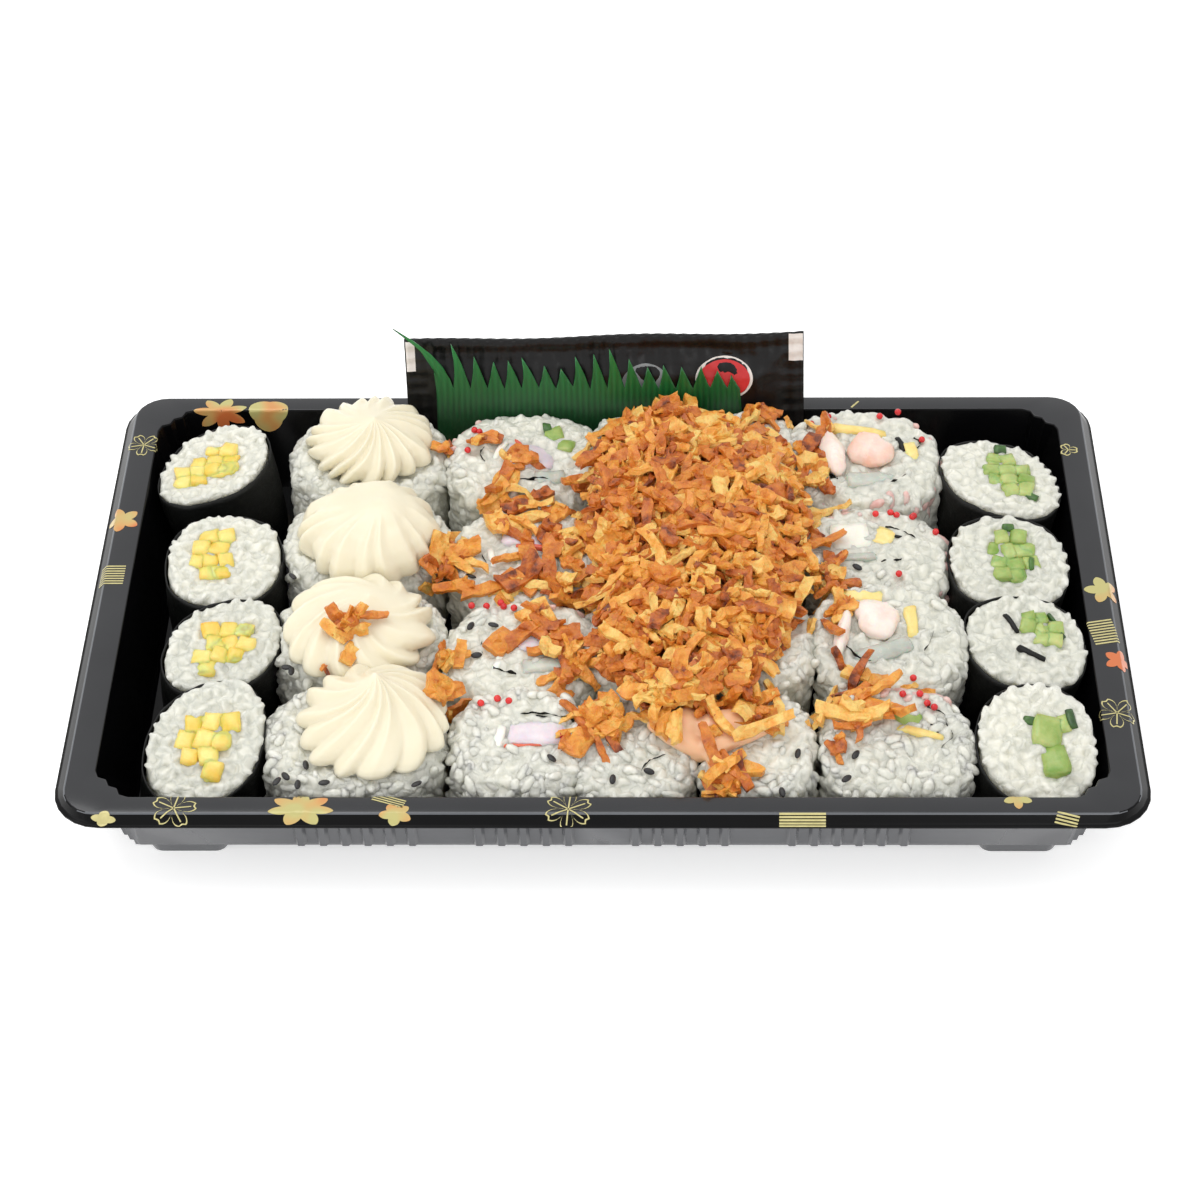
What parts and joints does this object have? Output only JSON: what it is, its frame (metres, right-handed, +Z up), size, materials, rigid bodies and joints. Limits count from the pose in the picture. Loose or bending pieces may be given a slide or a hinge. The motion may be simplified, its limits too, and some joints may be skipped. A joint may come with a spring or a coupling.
{
  "type": "takeaway sushi tray",
  "caption": "Black formed takeaway tray packed with thin seaweed rolls, rice-outside rolls, piped cream swirls, a heap of fried onions, a sauce sachet and a strip of plastic grass.",
  "frame": {"origin": "bottom centre of the tray's bounding box, on the surface that the feet stand on", "axes": "+Z up, +X along the tray's length to the right, -Y towards the front side"},
  "size_m": [0.2624, 0.1624, 0.0531],
  "materials": {
    "black_tray": "glossy black formed plastic sheet with a scattered print in gold and orange",
    "seaweed_roll": "sticky rice and pale filling in a near-black satin seaweed wrap",
    "rice_roll": "moist sticky rice grains, slightly translucent, over a thin seaweed layer and filling",
    "cream": "smooth ivory piped cream with a soft sheen",
    "fried_onions": "crisp golden to brown flakes with an oily sheen",
    "mayonnaise": "smooth glossy pale orange sauce",
    "sachet_film": "glossy black plastic film with crimped seals and plain ovals",
    "green_plastic": "thin glossy green plastic sheet with fine upright ribs"
  },
  "bodies": {
    "root": {"crab_roll_1": "rice_roll", "crab_roll_2": "rice_roll", "crab_roll_3": "rice_roll", "crab_roll_4": "rice_roll", "cream_roll_1": "rice_roll", "cream_roll_2": "rice_roll", "cream_roll_3": "rice_roll", "cream_roll_4": "rice_roll", "cream_swirl_1": "cream", "cream_swirl_2": "cream", "cream_swirl_3": "cream", "cream_swirl_4": "cream", "cucumber_maki_1": "seaweed_roll", "cucumber_maki_2": "seaweed_roll", "cucumber_maki_3": "seaweed_roll", "cucumber_maki_4": "seaweed_roll", "fried_onions": "fried_onions", "mayo": "mayonnaise", "onion_roll_left_1": "rice_roll", "onion_roll_left_2": "rice_roll", "onion_roll_left_3": "rice_roll", "onion_roll_left_4": "rice_roll", "onion_roll_right_1": "rice_roll", "onion_roll_right_2": "rice_roll", "onion_roll_right_3": "rice_roll", "onion_roll_right_4": "rice_roll", "plastic_grass": "green_plastic", "sachet": "sachet_film", "shrimp_roll_1": "rice_roll", "shrimp_roll_2": "rice_roll", "shrimp_roll_3": "rice_roll", "shrimp_roll_4": "rice_roll", "tray": "black_tray", "yellow_maki_1": "seaweed_roll", "yellow_maki_2": "seaweed_roll", "yellow_maki_3": "seaweed_roll", "yellow_maki_4": "seaweed_roll"}
  },
  "joints": []
}
